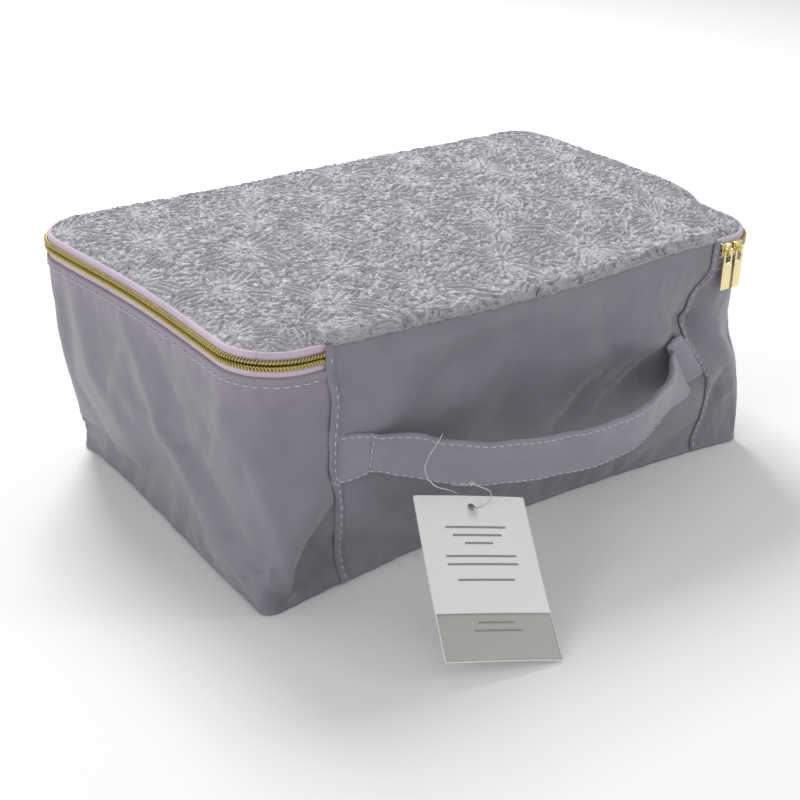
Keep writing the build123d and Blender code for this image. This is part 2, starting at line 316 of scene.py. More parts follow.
def settle(points):
    """The bag's slumped stance: its far corners flare, the hinge line dips and the seams wander."""
    x, y, z = points[..., 0], points[..., 1], points[..., 2]
    high = smooth(z / 100)
    low = 1 - smooth(z / 75)
    upper = smooth((z - 60) / 50)
    far_left = bump(x + HALF_W, 70) * bump(y - HALF_D, 70)
    far_right = bump(x - HALF_W, 70) * smooth((y + 75) / 60)
    at_back = smooth((y + 40) / 130)
    at_front = bump(y + HALF_D, 26)
    dx = -9.5 * far_left * high + 5.0 * far_left * low + 8.0 * far_right * upper
    dx = dx + at_front * drift(z, LEFT_DRIFT) * bump(x + SEAM_X, 34)
    dx = dx + at_front * drift(z, RIGHT_DRIFT) * bump(x - SEAM_X, 26)
    dy = 4.0 * at_back * high
    dip = -2.6 * bump(x + 5, 62) + 1.4 * bump(x - 85, 30)
    dz = dip * at_front * smooth((z - 70) / 40) + 3.0 * at_back * upper
    dz = dz + 3.0 * far_right * smooth((z - 90) / 20)
    wave = 0.7 * np.sin(x / 31.0 + 1.0) + 0.5 * np.sin(y / 23.0 + 2.0)
    dz = dz + wave * smooth((z - 60) / 40) * (1 - at_front)
    near_route = np.hypot(np.maximum(SLIDER_ROUTE[0] - x, 0), np.maximum(y - SLIDER_ROUTE[1], 0))
    free = 1 - (1 - smooth(near_route / 22)) * smooth((z - 88) / 12)
    return np.stack([x + dx * free, y + dy * free, z + dz * free], -1)


SEWN_ENDS = ((front(-94), 60, 17), (front(92), 58, 15))  # distance round, height, radius
SLACK = {}  # filled by the cloth simulation: the grid of moves it gives the walls


def kept_flat(s, z):
    """0 where the strap's sewn ends hold the wall flat, 1 elsewhere."""
    held = sum(bump(np.hypot(signed(s - place), z - height), radius) for place, height, radius in SEWN_ENDS)
    return 1 - np.clip(held, 0, 1)


def curve_weights(t):
    """Weights of four neighbours for a smooth curve between the middle two."""
    return (
        (-t + 2 * t**2 - t**3) / 2,
        (2 - 5 * t**2 + 3 * t**3) / 2,
        (t + 4 * t**2 - 3 * t**3) / 2,
        (-(t**2) + t**3) / 2,
    )


def slack_moves(s, z):
    """The simulated moves, read off their coarse grid."""
    moves = SLACK["moves"]
    columns, rows = moves.shape[:2]
    u = (s % ROUND) / ROUND * columns
    v = np.clip((z - FOOT) / (HEM_TOP - FOOT), 0, 1) * (rows - 1)
    i, j = np.floor(u).astype(int), np.minimum(np.floor(v).astype(int), rows - 2)
    total = 0
    for a, weight_a in enumerate(curve_weights(u - i)):
        for b, weight_b in enumerate(curve_weights(v - j)):
            picked = moves[(i + a - 1) % columns, np.clip(j + b - 1, 0, rows - 1)]
            total = total + picked * (weight_a * weight_b)[..., None]
    return total


def wall(s, out, z, folds=True):
    """Points at distance s round the bag, height z, and out in front of the cloth's outer face."""
    s, out, z = np.broadcast_arrays(*(np.asarray(value, float) for value in (s, out, z)))
    x, y, nx, ny = plan(s, z)
    middle = np.abs(ny) * (1 - (x / HALF_W) ** 2) + 0.5 * np.abs(nx) * (1 - (y / HALF_D) ** 2)
    push = out - RECESS * middle * (1 - smooth(z / 85)) ** 1.2
    if folds:
        push = push + relief(s, z) * kept_flat(s, z)
    lift = 1.1 * (0.5 + 0.5 * noise(s, 0, 33, 9, ROUND)) * (1 - smooth(z / 12))
    points = settle(np.stack([x + nx * push, y + ny * push, z + lift], -1))
    if folds and SLACK:
        held = kept_flat(s, z) * (1 - 0.65 * smooth((z - 62) / 24))
        points = points + slack_moves(s, z) * held[..., None]
    return points


# ---- meshes: every builder returns (vertices, faces) ----
def make_object(name, mesh_parts, material):
    vertices, faces = mesh_parts
    mesh = bpy.data.meshes.new(name)
    mesh.from_pydata((np.asarray(vertices) * MM).tolist(), [], faces)
    mesh.validate()
    turned = bmesh.new()
    turned.from_mesh(mesh)
    bmesh.ops.recalc_face_normals(turned, faces=turned.faces[:])
    turned.to_mesh(mesh)
    turned.free()
    mesh.polygons.foreach_set("use_smooth", [len(polygon.vertices) <= 4 for polygon in mesh.polygons])
    mesh.materials.append(material)
    thing = bpy.data.objects.new(name, mesh)
    bpy.context.scene.collection.objects.link(thing)
    return thing


def add(name, mesh_parts, material, body, slot, *nodes):
    """Make a visible piece: fix it to a body, or else leave it in place, fixed to no body, and hide the CAD
    nodes it replaces.
    """
    thing = make_object(name, mesh_parts, material)
    if isinstance(body, str):
        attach(thing, body)
    else:
        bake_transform(thing)
    if nodes:
        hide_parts(*nodes)
    return thing


def grid_faces(nu, nv, closed_u=False, closed_v=False, flip=False, offset=0):
    """Quads of a grid. flip lists them from the other side, so they split along the other diagonal."""
    rows, columns = nu if closed_u else nu - 1, nv if closed_v else nv - 1
    i, j = (index.ravel() for index in np.meshgrid(np.arange(rows), np.arange(columns), indexing="ij"))
    i2, j2 = (i + 1) % nu, (j + 1) % nv
    quads = np.stack([i * nv + j, i2 * nv + j, i2 * nv + j2, i * nv + j2], 1) + offset
    return (quads[:, ::-1] if flip else quads).tolist()


def loop_faces(first, second):
    """Quads between two closed loops of point numbers."""
    return np.stack([first, np.roll(first, -1), np.roll(second, -1), second], 1).tolist()


def disc_faces(rings, n, offset=0, flip=False):
    """Rings of n points, the outermost first, and a fan to the one point that follows them."""
    last, centre = offset + (rings - 1) * n, offset + rings * n
    fan = [[last + j, last + (j + 1) % n, centre] for j in range(n)]
    return grid_faces(rings, n, closed_v=True, flip=flip, offset=offset) + fan


def double_disc_faces(rings, n, flip):
    """Two discs, one after the other in the list of points, joined round their outer rings."""
    layer, rim = rings * n + 1, np.arange(n)
    discs = disc_faces(rings, n, 0, flip) + disc_faces(rings, n, layer, not flip)
    return discs + loop_faces(rim, rim + layer)


def shell(points, thickness):
    """A closed sheet: the outer face is points, the inner face lies thickness behind it."""
    nu, nv = points.shape[:2]
    normal = np.cross(np.gradient(points, axis=0), np.gradient(points, axis=1))
    normal /= np.maximum(np.linalg.norm(normal, axis=-1, keepdims=True), 1e-9)
    inner = points - normal * thickness
    count = nu * nv
    index = np.arange(count).reshape(nu, nv)
    rim = np.concatenate([index[:, 0], index[-1, 1:], index[-2::-1, -1], index[0, -2:0:-1]])
    faces = grid_faces(nu, nv) + grid_faces(nu, nv, flip=True, offset=count) + loop_faces(rim, rim + count)
    return np.concatenate([points.reshape(-1, 3), inner.reshape(-1, 3)]), faces


def tube(sections):
    """A capped tube through closed sections, given as an array (stations, ring, 3)."""
    n, m = sections.shape[:2]
    caps = [list(range(m))[::-1], list(range((n - 1) * m, n * m))]
    return sections.reshape(-1, 3), grid_faces(n, m, closed_v=True) + caps


def path_frames(path, up):
    """Sideways and upward directions along a path."""
    tangent = unit(np.gradient(path, axis=0))
    side = unit(np.cross(tangent, np.broadcast_to(up, path.shape)))
    return side, np.cross(side, tangent)


def round_section(side, top, sides=6):
    """A ring of points at distance 1, in the plane of two directions."""
    angle = np.arange(sides) / sides * 2 * PI
    return side[..., None, :] * np.cos(angle)[:, None] + top[..., None, :] * np.sin(angle)[:, None]


def rod(path, radius, sides, up, flat=1.0):
    """A round rod along a path; flat squeezes it across its side direction."""
    side, top = path_frames(path, up)
    return tube(path[:, None] + round_section(side * flat, top, sides) * radius)


def join(parts):
    vertices, faces, count = [], [], 0
    for part_vertices, part_faces in parts:
        vertices.append(part_vertices)
        faces += [[index + count for index in face] for face in part_faces]
        count += len(part_vertices)
    return np.concatenate(vertices), faces


def spline(points, count):
    """A smooth curve through the points, evenly spaced by length."""
    points = np.asarray(points, float)
    padded = np.concatenate([[2 * points[0] - points[1]], points, [2 * points[-1] - points[-2]]])
    fine = []
    for k in range(len(points) - 1):
        p0, p1, p2, p3 = padded[k : k + 4]
        t = np.linspace(0, 1, 24, endpoint=False)[:, None]
        a, b = 2 * p1, p2 - p0
        c, d = 2 * p0 - 5 * p1 + 4 * p2 - p3, -p0 + 3 * p1 - 3 * p2 + p3
        fine.append(0.5 * (a + b * t + c * t**2 + d * t**3))
    fine = np.concatenate([*fine, [points[-1]]])
    length = distances(fine)
    return read_along(np.linspace(0, length[-1], count), length, fine)


def rounded_box(x, y, z, radius):
    """A box between pairs of limits, with its edges rounded off."""
    box = bmesh.new()
    bmesh.ops.create_cube(box, size=1.0)
    for vertex in box.verts:
        vertex.co = Vector([limits[int(value > 0)] for limits, value in zip((x, y, z), vertex.co)])
    bmesh.ops.bevel(box, geom=box.edges[:], offset=radius, segments=3, profile=0.5, affect="EDGES")
    box.verts.index_update()
    vertices = np.array([vertex.co[:] for vertex in box.verts])
    faces = [[vertex.index for vertex in face.verts] for face in box.faces]
    box.free()
    return vertices, faces


# ---- materials ----
class Look:
    """A material in the making. In a keyword, an underscore stands for the space in a socket's name."""

    def __init__(self, name, colour, roughness, **inputs):
        self.material = bpy.data.materials.new(name)
        self.material.use_nodes = True
        self.tree = self.material.node_tree
        self.shader = self.tree.nodes["Principled BSDF"]
        self.coordinates = self.add("TexCoord", "Object")
        self.set(self.shader, Base_Color=(*colour, 1), Roughness=roughness, **inputs)

    def put(self, value, socket):
        if isinstance(value, bpy.types.NodeSocket):
            self.tree.links.new(value, socket)
        else:
            socket.default_value = value

    def set(self, node, **settings):
        for key, value in settings.items():
            name = key.replace("_", " ")
            if name in node.inputs:
                self.put(value, node.inputs[name])
            else:
                setattr(node, key, value)

    def add(self, kind, output, **settings):
        """Add a node and return one of its outputs."""
        node = self.tree.nodes.new("ShaderNode" + kind)
        self.set(node, **settings)
        return node.outputs[output]

    def noise(self, scale, detail=2.0, **settings):
        return self.add("TexNoise", "Fac", Vector=self.coordinates, Scale=scale, Detail=detail, **settings)

    def arithmetic(self, operation, *values):
        node = self.tree.nodes.new("ShaderNodeMath")
        node.operation = operation
        for value, socket in zip(values, node.inputs):
            self.put(value, socket)
        return node.outputs[0]

    def ramp(self, factor, dark, light, low=0.0, high=1.0):
        """A colour between dark and light, as the factor goes from low to high."""
        node = self.tree.nodes.new("ShaderNodeValToRGB")
        for element, colour, position in zip(node.color_ramp.elements, (dark, light), (low, high)):
            element.color = (*colour, 1)
            element.position = position
        self.put(factor, node.inputs["Fac"])
        return node.outputs["Color"]

    def bump(self, height, strength, millimetres, **settings):
        reach = millimetres * MM
        return self.add("Bump", "Normal", Height=height, Strength=strength, Distance=reach, **settings)

    def finish(self, **inputs):
        self.set(self.shader, **inputs)
        return self.material


WEAVE_SCALE = 220.0  # wave scale that gives about two threads to the millimetre


def taffeta(name, dark, light, tint=None, roughness=0.5):
    """Thin satin-faced polyester: fine weave, faint mottling, soft sheen, and a tint near the zip."""
    look = Look(name, light, roughness, Sheen_Weight=0.35, Sheen_Roughness=0.4, Anisotropic=0.3)
    colour = look.ramp(look.noise(55.0, 5.0, Roughness=0.6), dark, light, 0.3, 0.7)
    if tint is not None:
        height = look.add("SeparateXYZ", "Z", Vector=look.coordinates)
        limits = {"From_Min": (HEM_TOP - 16) * MM, "From_Max": (HEM_TOP + 2) * MM, "To_Max": 0.5}
        near = look.add("MapRange", "Result", Value=height, **limits)
        colour = look.add("Mix", "Result", data_type="RGBA", Factor=near, A=colour, B=(*tint, 1))
    waves = [
        look.add(
            "TexWave",
            "Fac",
            bands_direction=direction,
            Vector=look.coordinates,
            Scale=WEAVE_SCALE,
            Distortion=0.6,
            Detail_Scale=3.0,
        )
        for direction in "XYZ"
    ]
    threads = look.arithmetic("ADD", look.arithmetic("ADD", waves[0], waves[1]), waves[2])
    woven = look.bump(threads, 0.25, 0.02)
    grain = look.bump(look.noise(900.0), 0.12, 0.15, Normal=woven)
    return look.finish(Base_Color=colour, Normal=grain)


def crinkle(name):
    """Embossed satin: a fine speckled weave with painted glints, painted highlight on the pressed lines and
    painted shade in the hollows.
    """
    look = Look(name, (0.4, 0.4, 0.44), 0.42, Sheen_Weight=0.1, Specular_IOR_Level=0.5)
    height = look.add("Attribute", "Fac", attribute_name="relief")
    # painted shade and highlight: the colour darkens in the hollows of the relief and lightens on its ridges
    relief_painted_shade_and_highlight = look.arithmetic("MULTIPLY_ADD", height, 0.40, -0.02)
    # the fine speckle is the weave's grain with painted glints, added to the painted relief shade and
    # highlight
    grain_glints_and_relief_shade = look.arithmetic("MULTIPLY_ADD", look.noise(1500.0, Roughness=0.8), 0.95, relief_painted_shade_and_highlight)
    colour = look.ramp(grain_glints_and_relief_shade, (0.12, 0.117, 0.137), (0.58, 0.575, 0.62), 0.22, 0.85)
    pressed = look.bump(height, 1.0, 1.2)
    creases = look.noise(420.0, 3.0, Roughness=0.6, Distortion=0.8)
    creased = look.bump(creases, 0.4, 0.3, Normal=pressed)
    woven = look.bump(look.noise(1500.0, 1.0), 0.3, 0.12, Normal=creased)
    return look.finish(Base_Color=colour, Normal=woven)


def gold(name, colour, roughness):
    """Plated metal with fine scratches and uneven polish."""
    look = Look(name, colour, roughness, Metallic=1.0)
    wear = look.noise(600.0, 3.0)
    polish = look.add("MapRange", "Result", Value=wear, To_Min=roughness * 0.7, To_Max=roughness * 1.5)
    return look.finish(Roughness=polish, Normal=look.bump(wear, 0.1, 0.05))


def card_stock(name, colour):
    look = Look(name, colour, 0.45)
    fibres = look.noise(700.0, 4.0)
    dark = tuple(0.95 * channel for channel in colour)
    return look.finish(Base_Color=look.ramp(fibres, dark, colour), Normal=look.bump(fibres, 0.05, 0.05))


def clear_thread(name):
    look = Look(name, (0.85, 0.85, 0.88), 0.15, Transmission_Weight=0.6)
    return look.finish(Normal=look.bump(look.noise(500.0), 0.1, 0.05))


SIDE = taffeta("side_taffeta", (0.205, 0.195, 0.232), (0.24, 0.23, 0.268), tint=(0.33, 0.26, 0.34))
PANEL = taffeta("panel_taffeta", (0.205, 0.195, 0.232), (0.24, 0.23, 0.268))
STRAP = taffeta("strap_taffeta", (0.25, 0.235, 0.285), (0.29, 0.275, 0.325))
TAPE = taffeta("zip_tape", (0.54, 0.44, 0.54), (0.63, 0.52, 0.62), roughness=0.7)
LINING = taffeta("lining_cloth", (0.36, 0.34, 0.40), (0.42, 0.40, 0.46), roughness=0.65)
BINDING = taffeta("binding_cloth", (0.30, 0.27, 0.34), (0.36, 0.33, 0.40), roughness=0.7)
THREAD = taffeta("sewing_thread", (0.52, 0.48, 0.57), (0.60, 0.56, 0.65), roughness=0.6)
LID = crinkle("embossed_lid")
COIL = gold("gold_coil", (0.56, 0.47, 0.20), 0.34)
METAL = gold("gold_metal", (0.88, 0.76, 0.42), 0.16)
CARD = card_stock("card_white", (0.95, 0.95, 0.94))
CARD_BAND = card_stock("card_grey", (0.50, 0.50, 0.475))
CARD_PRINT = card_stock("card_print", (0.34, 0.34, 0.34))
CLEAR = clear_thread("clear_thread")


# ---- stitches ----
def stitch_row(path, outward, length=2.7, gap=1.3, radius=0.32):
    """Separate stitches along a path that lies on the cloth; each dips into it at both ends."""
    distance = distances(path)
    stations = np.linspace(0, 1, 6)
    arch = np.sin(PI * stations)[:, None]
    parts, start = [], gap / 2
    while start + length < distance[-1]:
        at = start + length * stations
        normal = unit(read_along(at, distance, outward))
        centre = read_along(at, distance, path) + normal * (radius * (1.5 * arch**0.6 - 0.7))
        side = unit(np.cross(np.gradient(centre, axis=0), normal))
        size = radius * (0.55 + 0.45 * arch)[:, None]
        parts.append(tube(centre[:, None] + round_section(side, normal) * size))
        start += length + gap
    return join(parts)


def wall_stitches(s, z, out):
    """A stitch row on the wall along matching distances and heights."""
    path = wall(s, out, z)
    return stitch_row(path, wall(s, out + 1.0, z) - path)


# ---- slackness of the walls, simulated ----
SIM_CELL = 4.0
SIM_FRAMES = 20
SIM_EXTRA = 0.012  # how much too big the cloth is for the shape it hangs on
SIM_LIMIT = 4.0
SIM_SETTINGS = {
    "vertex_group_mass": "pins",
    "quality": 8,
    "mass": 0.2,
    "tension_stiffness": 20,
    "compression_stiffness": 20,
    "shear_stiffness": 8,
    "bending_stiffness": 1.5,
    "shrink_min": -SIM_EXTRA,
    "use_pressure": True,
    "uniform_pressure_force": 0.5,
}


def simulate_walls():
    """Let slightly oversized cloth, held at the foot and the hem, buckle; keep how far each point moved."""
    columns, rows = round(ROUND / SIM_CELL), round(HEM_TOP / SIM_CELL) + 1
    s = np.arange(columns) / columns * ROUND
    z = np.linspace(FOOT, HEM_TOP, rows)
    rest = wall(s[:, None], 0.0, z)
    cloth = make_object("wall_slack", (rest.reshape(-1, 3), grid_faces(columns, rows, closed_u=True)), SIDE)
    index = np.arange(columns * rows).reshape(columns, rows)
    cloth.vertex_groups.new(name="pins").add(index[:, [0, -1]].ravel().tolist(), 1.0, "REPLACE")
    modifier = cloth.modifiers.new("cloth", "CLOTH")
    for key, value in SIM_SETTINGS.items():
        setattr(modifier.settings, key, value)
    modifier.settings.effector_weights.gravity = 0.1
    modifier.collision_settings.use_collision = False
    modifier.collision_settings.use_self_collision = False
    scene = bpy.context.scene
    for frame_number in range(1, SIM_FRAMES + 1):
        scene.frame_set(frame_number)
    evaluated = cloth.evaluated_get(bpy.context.evaluated_depsgraph_get())
    found = np.empty(columns * rows * 3)
    evaluated.data.vertices.foreach_get("co", found)
    moved = found.reshape(columns, rows, 3) / MM - rest
    bpy.data.objects.remove(cloth)
    scene.frame_set(1)
    length = np.linalg.norm(moved, axis=-1, keepdims=True)
    return moved * SIM_LIMIT * np.tanh(length / SIM_LIMIT) / np.maximum(length, 1e-6)


SLACK["moves"] = simulate_walls()

# ---- bag walls ----
SPACING = 1.1


def steps(low, high, spacing=SPACING):
    return np.linspace(low, high, max(2, round((high - low) / spacing)) + 1)


def wall_sheet(s_low, s_high, z_high):
    s, z = np.meshgrid(steps(s_low, s_high), steps(FOOT, z_high), indexing="ij")
    return shell(wall(s, 0.0, z), CLOTH)


def swept(s, profile, folds=True):
    """A closed cross-section of (out, height) points, carried round the bag."""
    return tube(wall(s[:, None], profile[..., 0], profile[..., 1], folds))


def flat_profile(centre_line, thickness):
    """A closed thin cross-section around an open line of (out, height) points, with rounded edges."""
    line = spline(centre_line, 9)
    tangent = unit(np.gradient(line, axis=0))
    normal = np.stack([tangent[:, 1], -tangent[:, 0]], 1) * thickness / 2
    cap_start = line[0] - tangent[0] * thickness / 2
    cap_end = line[-1] + tangent[-1] * thickness / 2
    return np.concatenate([line + normal, [cap_end], (line - normal)[::-1], [cap_start]])


def ribbon(s_low, s_high, centre_line, thickness, spacing=SPACING, folds=True):
    return swept(steps(s_low, s_high, spacing), flat_profile(centre_line, thickness), folds)


add("side_band_cloth", wall_sheet(SEAM_X, ROUND - SEAM_X, HEM_EDGE), SIDE, "bag", "side_fabric", "side_band")
add("front_panel_cloth", wall_sheet(-SEAM_X, SEAM_X, PANEL_TOP), PANEL, "bag", "side_fabric", "front_panel")

# ---- base ----
BASE_POINTS = 360
BASE_RINGS = 22
BASE_Z = 1.5


def base():
    """The bottom panel: a sheet that dips to meet the foot of the walls."""
    s = np.linspace(0, ROUND, BASE_POINTS, endpoint=False)
    edge = wall(s, -0.4, FOOT)
    edge[:, 2] = np.maximum(edge[:, 2] - 0.5, 0.9)
    layers = []
    for face_z in (0.0, -0.8):
        for k in range(BASE_RINGS):
            inward = k / BASE_RINGS
            ring = edge * [1 - inward, 1 - inward, 1]
            sag = 0.5 * noise(ring[:, 0], ring[:, 1], 30, 21)
            inside = smooth(inward * 8)
            ring[:, 2] = edge[:, 2] * (1 - inside) + inside * (BASE_Z + sag)
            layers.append(ring + [0, 0, face_z])
        layers.append([[0, 0, BASE_Z + face_z]])
    return np.concatenate(layers), double_disc_faces(BASE_RINGS, BASE_POINTS, flip=True)


FOOT_BINDING = ribbon(0, ROUND, [(-1.4, 2.2), (-1.6, 5.0), (-1.5, 8.0)], 0.9, 2.5)
FOOT_SEAM = ribbon(0, ROUND, [(-0.8, 0.7), (0.1, 1.0), (-0.3, 1.8)], 0.6, 2.0)
add("base_cloth", base(), SIDE, "bag", "side_fabric", "base_panel")
add("foot_binding", FOOT_BINDING, BINDING, "bag", "binding_tape", "base_binding")
add("foot_seam", FOOT_SEAM, PANEL, "bag", "binding_tape")


# ---- upright seams ----
def seam_strip(sign):
    """A felled seam: a soft raised strip over the join of two walls."""
    z, across = np.meshgrid(steps(FOOT, RIM_Z - 0.4, 0.9), np.linspace(-1, 1, 11), indexing="ij")
    puff = 0.45 * (1 - np.abs(across) ** 3) + 0.2
    puff = puff + 0.25 * noise(z, across * 3, 3.6, 31) * (1 - across**2)
    half = 1.8 + 0.35 * noise(z, 0, 8, 32)
    outer = wall(sign * (SEAM_X + 0.4 + half * across), puff, z)
    return shell(outer if sign > 0 else outer[:, ::-1], 0.45)


SIDES = (("left", -1), ("right", 1))
for name, sign in SIDES:
    add(f"{name}_seam_strip", seam_strip(sign), PANEL, "bag", "side_fabric", f"{name}_seam_fold")
    row = wall_stitches(sign * (SEAM_X - 0.3), steps(FOOT + 1, RIM_Z - 2, 1.0), 0.85)
    add(f"{name}_seam_stitches", row, THREAD, "bag", "thread")

# ---- hem and tapes: cross-sections as (out, height) ----
HEM_TURNING = [(-2.2, 92.5), (-2.1, 97.0), (-2.1, HEM_TOP - 0.6)]
HEM_FOLD = [(-0.2, HEM_EDGE - 4.2), (0.3, HEM_EDGE - 2.0), (0.2, HEM_EDGE + 0.1), (-0.7, HEM_EDGE + 0.3)]
LOWER_TAPE = [(-1.25, 93.5), (-1.2, 99.0), (-0.7, 103.0), (-0.65, 105.4), (-1.0, ZIP_Z - 0.5)]
UPPER_TAPE = [(-1.1, ZIP_Z + 0.6), (-0.75, 110.3), (-0.85, 111.9)]
UPPER_TAPE += [(-1.5, 112.7), (-2.6, 112.3), (-3.4, 111.2)]  # turned in under the lid
TAPE_THICKNESS = 0.55
TWIST = 14.0  # length past LID_ZIP_X where the upper half of the zip passes from the bag to the lid, built as separate end pieces
SWING_START = LID_ZIP_X + TWIST


def band_ribbon(inset, centre_line, thickness):
    """A ribbon along the side band that stops inset from both seams."""
    return ribbon(SEAM_X + inset, ROUND - SEAM_X - inset, centre_line, thickness)


def upper_tape(s_low, s_high, spacing=SPACING):
    return ribbon(s_low, s_high, UPPER_TAPE, TAPE_THICKNESS, spacing)


HEM_ROW = wall_stitches(steps(SEAM_X + 2, ROUND - SEAM_X - 2, 1.0), HEM_EDGE - 3.2, 0.45)
LOWER_RIBBON = band_ribbon(-3, LOWER_TAPE, TAPE_THICKNESS)
UPPER_RIBBON = upper_tape(SWING_START, ROUND - SWING_START)
add("hem_turning", band_ribbon(0, HEM_TURNING, 0.6), SIDE, "bag", "side_fabric", "band_hem")
add("hem_folded_edge", band_ribbon(0.5, HEM_FOLD, 0.55), SIDE, "bag", "side_fabric")
add("hem_stitches", HEM_ROW, THREAD, "bag", "thread")
add("lower_tape_ribbon", LOWER_RIBBON, TAPE, "bag", "zip_tape", "lower_zip_tape")
add("upper_tape_ribbon", UPPER_RIBBON, TAPE, "lid", "zip_tape", "upper_zip_tape")

# ---- coil teeth ----
PITCH = ROUND / round(ROUND / 1.34)
TOOTH_LEAN = 0.62
TOOTH_RADIUS = 0.40
TOOTH_LINE = np.array([(-0.5, 2.0), (0.3, 2.05), (0.76, 1.7), (0.78, 1.15), (0.3, 0.6), (-0.45, 0.4)])
COIL_CORE = np.array([(-0.7, 0.1), (-0.1, 0.35), (0.25, 0.8), (0.25, 1.5), (-0.5, 1.8)])
ZIP_START = SEAM_X + 1.8


def teeth(s_low, s_high, side):
    """The loops of one coil half: side is -1 for the lower half and 1 for the upper half."""
    first, last = math.ceil(s_low / PITCH - 0.5), math.floor(s_high / PITCH - 0.5)
    s = (np.arange(first, last + 1) + 0.5) * PITCH
    lean = TOOTH_LEAN * np.linspace(1, -1, len(TOOTH_LINE))
    centre = wall(s[:, None] + lean, TOOTH_LINE[:, 0], ZIP_Z + side * TOOTH_LINE[:, 1])
    tangent = unit(np.gradient(centre, axis=1))
    along = (wall(s + 1, 0, ZIP_Z) - wall(s, 0, ZIP_Z))[:, None]
    across = unit(np.cross(tangent, along))
    ring = round_section(across, np.cross(across, tangent))
    return join([tube(tooth) for tooth in centre[:, :, None] + ring * TOOTH_RADIUS])


def coil(s_low, s_high, side):
    """Teeth with the flattened core under them."""
    core = COIL_CORE[::-side] * [1, side] + [0, ZIP_Z]
    return join([teeth(s_low, s_high, side), swept(steps(s_low, s_high, 1.5), core)])


LOWER_COIL = coil(ZIP_START, ROUND - ZIP_START, -1)
UPPER_COIL = coil(SWING_START, ROUND - SWING_START, 1)
add("lower_coil_teeth", LOWER_COIL, COIL, "bag", "gold_coil", "lower_coil")
add("upper_coil_teeth", UPPER_COIL, COIL, "lid", "gold_coil", "upper_coil")

# the short ends of the upper half, from the seam to where the lid's own part starts, are left in place and
# fixed to no body
for name, sign in SIDES:
    turning = [tuple(wall(sign * s, 0, ZIP_Z) * MM) for s in (LID_ZIP_X + 1.5, SWING_START)]
    body = ("bag", "lid", *turning)
    tape_end = upper_tape(*sorted((sign * (SEAM_X + 0.6), sign * SWING_START)), 0.8)
    coil_end = coil(*sorted((sign * ZIP_START, sign * SWING_START)), 1)
    ends = (("tape", tape_end, TAPE, "zip_tape"), ("coil", coil_end, COIL, "gold_coil"))
    for kind, piece, material, slot in ends:
        nodes = [f"upper_{kind}_ends"] if name == "left" else []  # one of each pair replaces the CAD node
        add(f"upper_{kind}_end_{name}", piece, material, body, slot, *nodes)


# ---- hinge seam ----
def hinge_roll():
    """The turned seam along the front panel's top, a little wavy."""
    x = steps(-SEAM_X + 1.2, SEAM_X - 1.2, 1.0)
    profile = flat_profile([(-1.3, PANEL_TOP - 0.4), (-0.6, PANEL_TOP + 0.3), (-1.4, RIM_Z - 0.2)], 0.8)
    wave = 0.25 * noise(x, 0, 8, 41)[:, None]
    return tube(wall(x[:, None], profile[:, 0] + wave, profile[:, 1]))


add("hinge_seam_roll", hinge_roll(), PANEL, "bag", "side_fabric", "hinge_seam")

# ---- lid ----
LID_EDGE = 1.3  # lid edge behind the outer fabric face
LID_EDGE_Z = 112.0
LID_CORNER_X, LID_CORNER_Y = HALF_W - CORNER_RADIUS, HALF_D - CORNER_RADIUS  # centres of the corner arcs
LID_RADIUS = CORNER_RADIUS - LID_EDGE
LID_SKIN = 1.3
UNDER_RINGS = 9
GRID = 0.78
EMBOSS_DEPTH = 1.8
FLOWER_X, FLOWER_Y = 46.0, 32.0
FLOWER_REACH = 27.0
BUTTON = 2.3  # radius of the raised ring in each flower's middle
RIDGE = 0.80  # half-width of the pressed lines


def flower_centres():
    rng = np.random.default_rng(77)
    centres = []
    for row in range(-3, 4):
        for column in range(-4, 5):
            x = (column + 0.5 * (row % 2)) * FLOWER_X + rng.uniform(-5, 5)
            y = row * FLOWER_Y + rng.uniform(-4, 4)
            centres.append((x, y, rng.uniform(0, 2 * PI), int(rng.integers(7, 10)), rng.uniform(0.85, 1.1)))
    return centres


def ridge(value, width=RIDGE):
    """1 along the lines where value is zero, with a shallow groove pressed in on both sides."""
    return 1.18 * bump(value, width) - 0.18 * bump(value, 2.4 * width)


def petal_relief(rho, phi, count, size):
    """Relief and cover of one flower: long petals drawn in raised lines round a raised button."""
    turns = phi * count / (2 * PI)
    which = np.floor(turns).astype(int) % count
    off_axis = (turns - np.floor(turns) - 0.5) * 2 * PI / count
    length = FLOWER_REACH * size * (0.72 + 0.28 * np.cos(2.4 * which + 7 * size))
    t = np.clip((rho - BUTTON) / (length - BUTTON), 0, 1)
    side = np.abs(rho * np.sin(off_axis))
    half = np.minimum(0.24 * length * np.sin(PI * t**0.8) ** 0.8, 0.95 * rho * math.tan(PI / count)) + 0.05
    within = smooth((half - side + 0.6) / 0.9) * (t > 0) * (t < 1)
    lines = ridge(side - half) + 0.75 * ridge(side) * smooth((0.9 - t) / 0.2) * smooth((half - 1.5) / 1.2)
    lines = lines + 0.6 * ridge(side - 0.52 * half) * smooth((half - 2.6) / 1.4)
    lines = np.clip(lines, -0.3, 1.1) * (0.4 + 0.6 * smooth((rho - 3) / 9))
    puff = 0.18 * np.sqrt(np.clip(1 - (side / half) ** 2, 0, 1))
    button = smooth((BUTTON + 1.0 - rho) / 0.8)
    ring = 0.15 + 0.5 * ridge(rho - BUTTON, 0.8)
    return (0.02 + puff + 0.9 * lines) * (1 - button) + ring * button, np.maximum(within, button)


